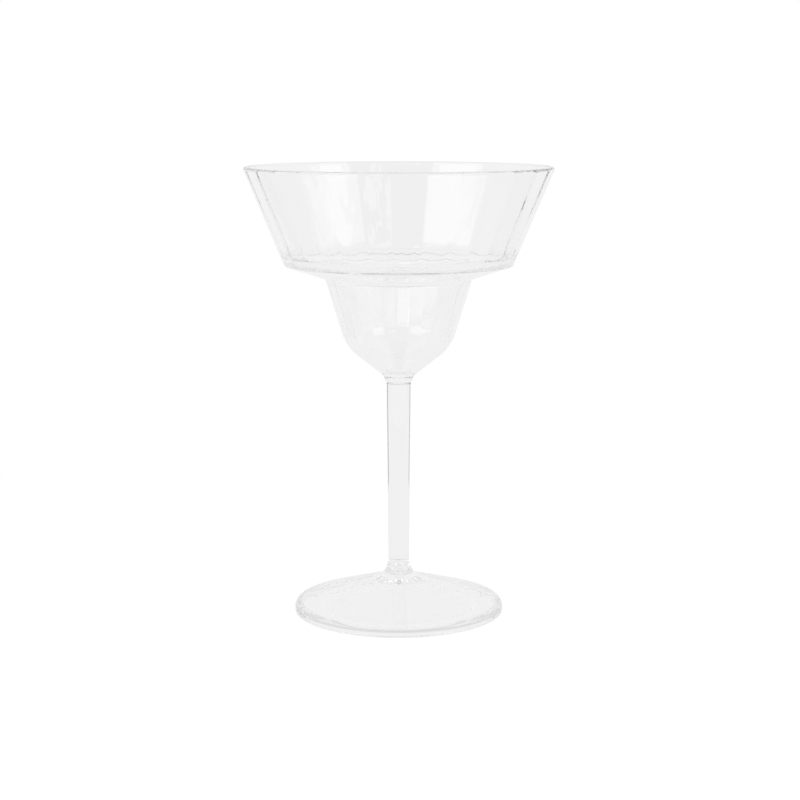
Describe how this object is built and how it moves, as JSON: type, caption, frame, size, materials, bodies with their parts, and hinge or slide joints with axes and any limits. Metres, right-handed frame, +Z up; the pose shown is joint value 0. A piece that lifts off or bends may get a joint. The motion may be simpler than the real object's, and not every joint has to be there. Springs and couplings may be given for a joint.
{
  "type": "margarita glass",
  "caption": "Clear stemmed cocktail glass with a wide flared bowl stepping down to a smaller cup, flat panels inside, on a slim stem and a round foot.",
  "frame": {"origin": "centre of the foot, on the surface that the glass stands on", "axes": "+Z up along the stem; the panels inside the bowl repeat round it"},
  "size_m": [0.118, 0.118, 0.1734],
  "materials": {
    "clear_plastic": "clear moulded plastic, polished"
  },
  "bodies": {
    "root": {"bowl": "clear_plastic", "stem": "clear_plastic", "foot": "clear_plastic"}
  },
  "joints": []
}
